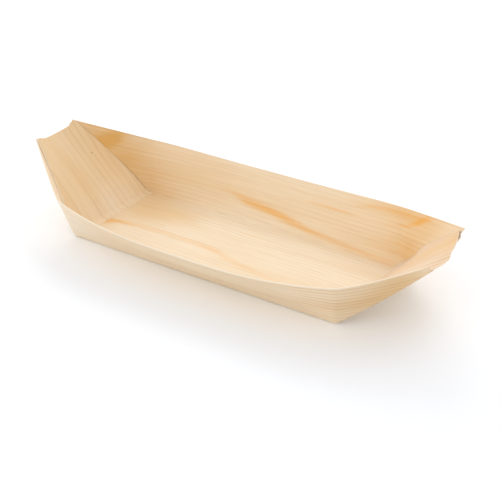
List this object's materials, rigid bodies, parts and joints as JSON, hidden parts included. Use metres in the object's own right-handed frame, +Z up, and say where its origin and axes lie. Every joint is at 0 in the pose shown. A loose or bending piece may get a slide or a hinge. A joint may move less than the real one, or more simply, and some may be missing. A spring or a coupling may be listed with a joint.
{
  "type": "boat-shaped serving dish",
  "caption": "Long boat-shaped dish folded from thin pine veneer, with flared sides, raised glued ends and a lining patch inside each end, for serving food.",
  "frame": {"origin": "underside of the floor, in the middle of the overall box seen from above", "axes": "+X along the dish towards the end at the right of the picture, +Y across towards the far side, +Z up"},
  "size_m": [0.243, 0.102, 0.0449],
  "materials": {
    "pine_veneer": "bare sliced pine, matt with a soft sheen",
    "patch_veneer": "bare sliced pine, matt with a soft sheen",
    "glue": "dried glue film"
  },
  "bodies": {
    "root": {"hull_sheet": "pine_veneer", "left_end_patch": "patch_veneer", "left_patch_glue": "glue", "left_near_pleat_glue": "glue", "left_far_pleat_glue": "glue", "right_end_patch": "patch_veneer", "right_patch_glue": "glue", "right_near_pleat_glue": "glue", "right_far_pleat_glue": "glue"}
  },
  "joints": []
}
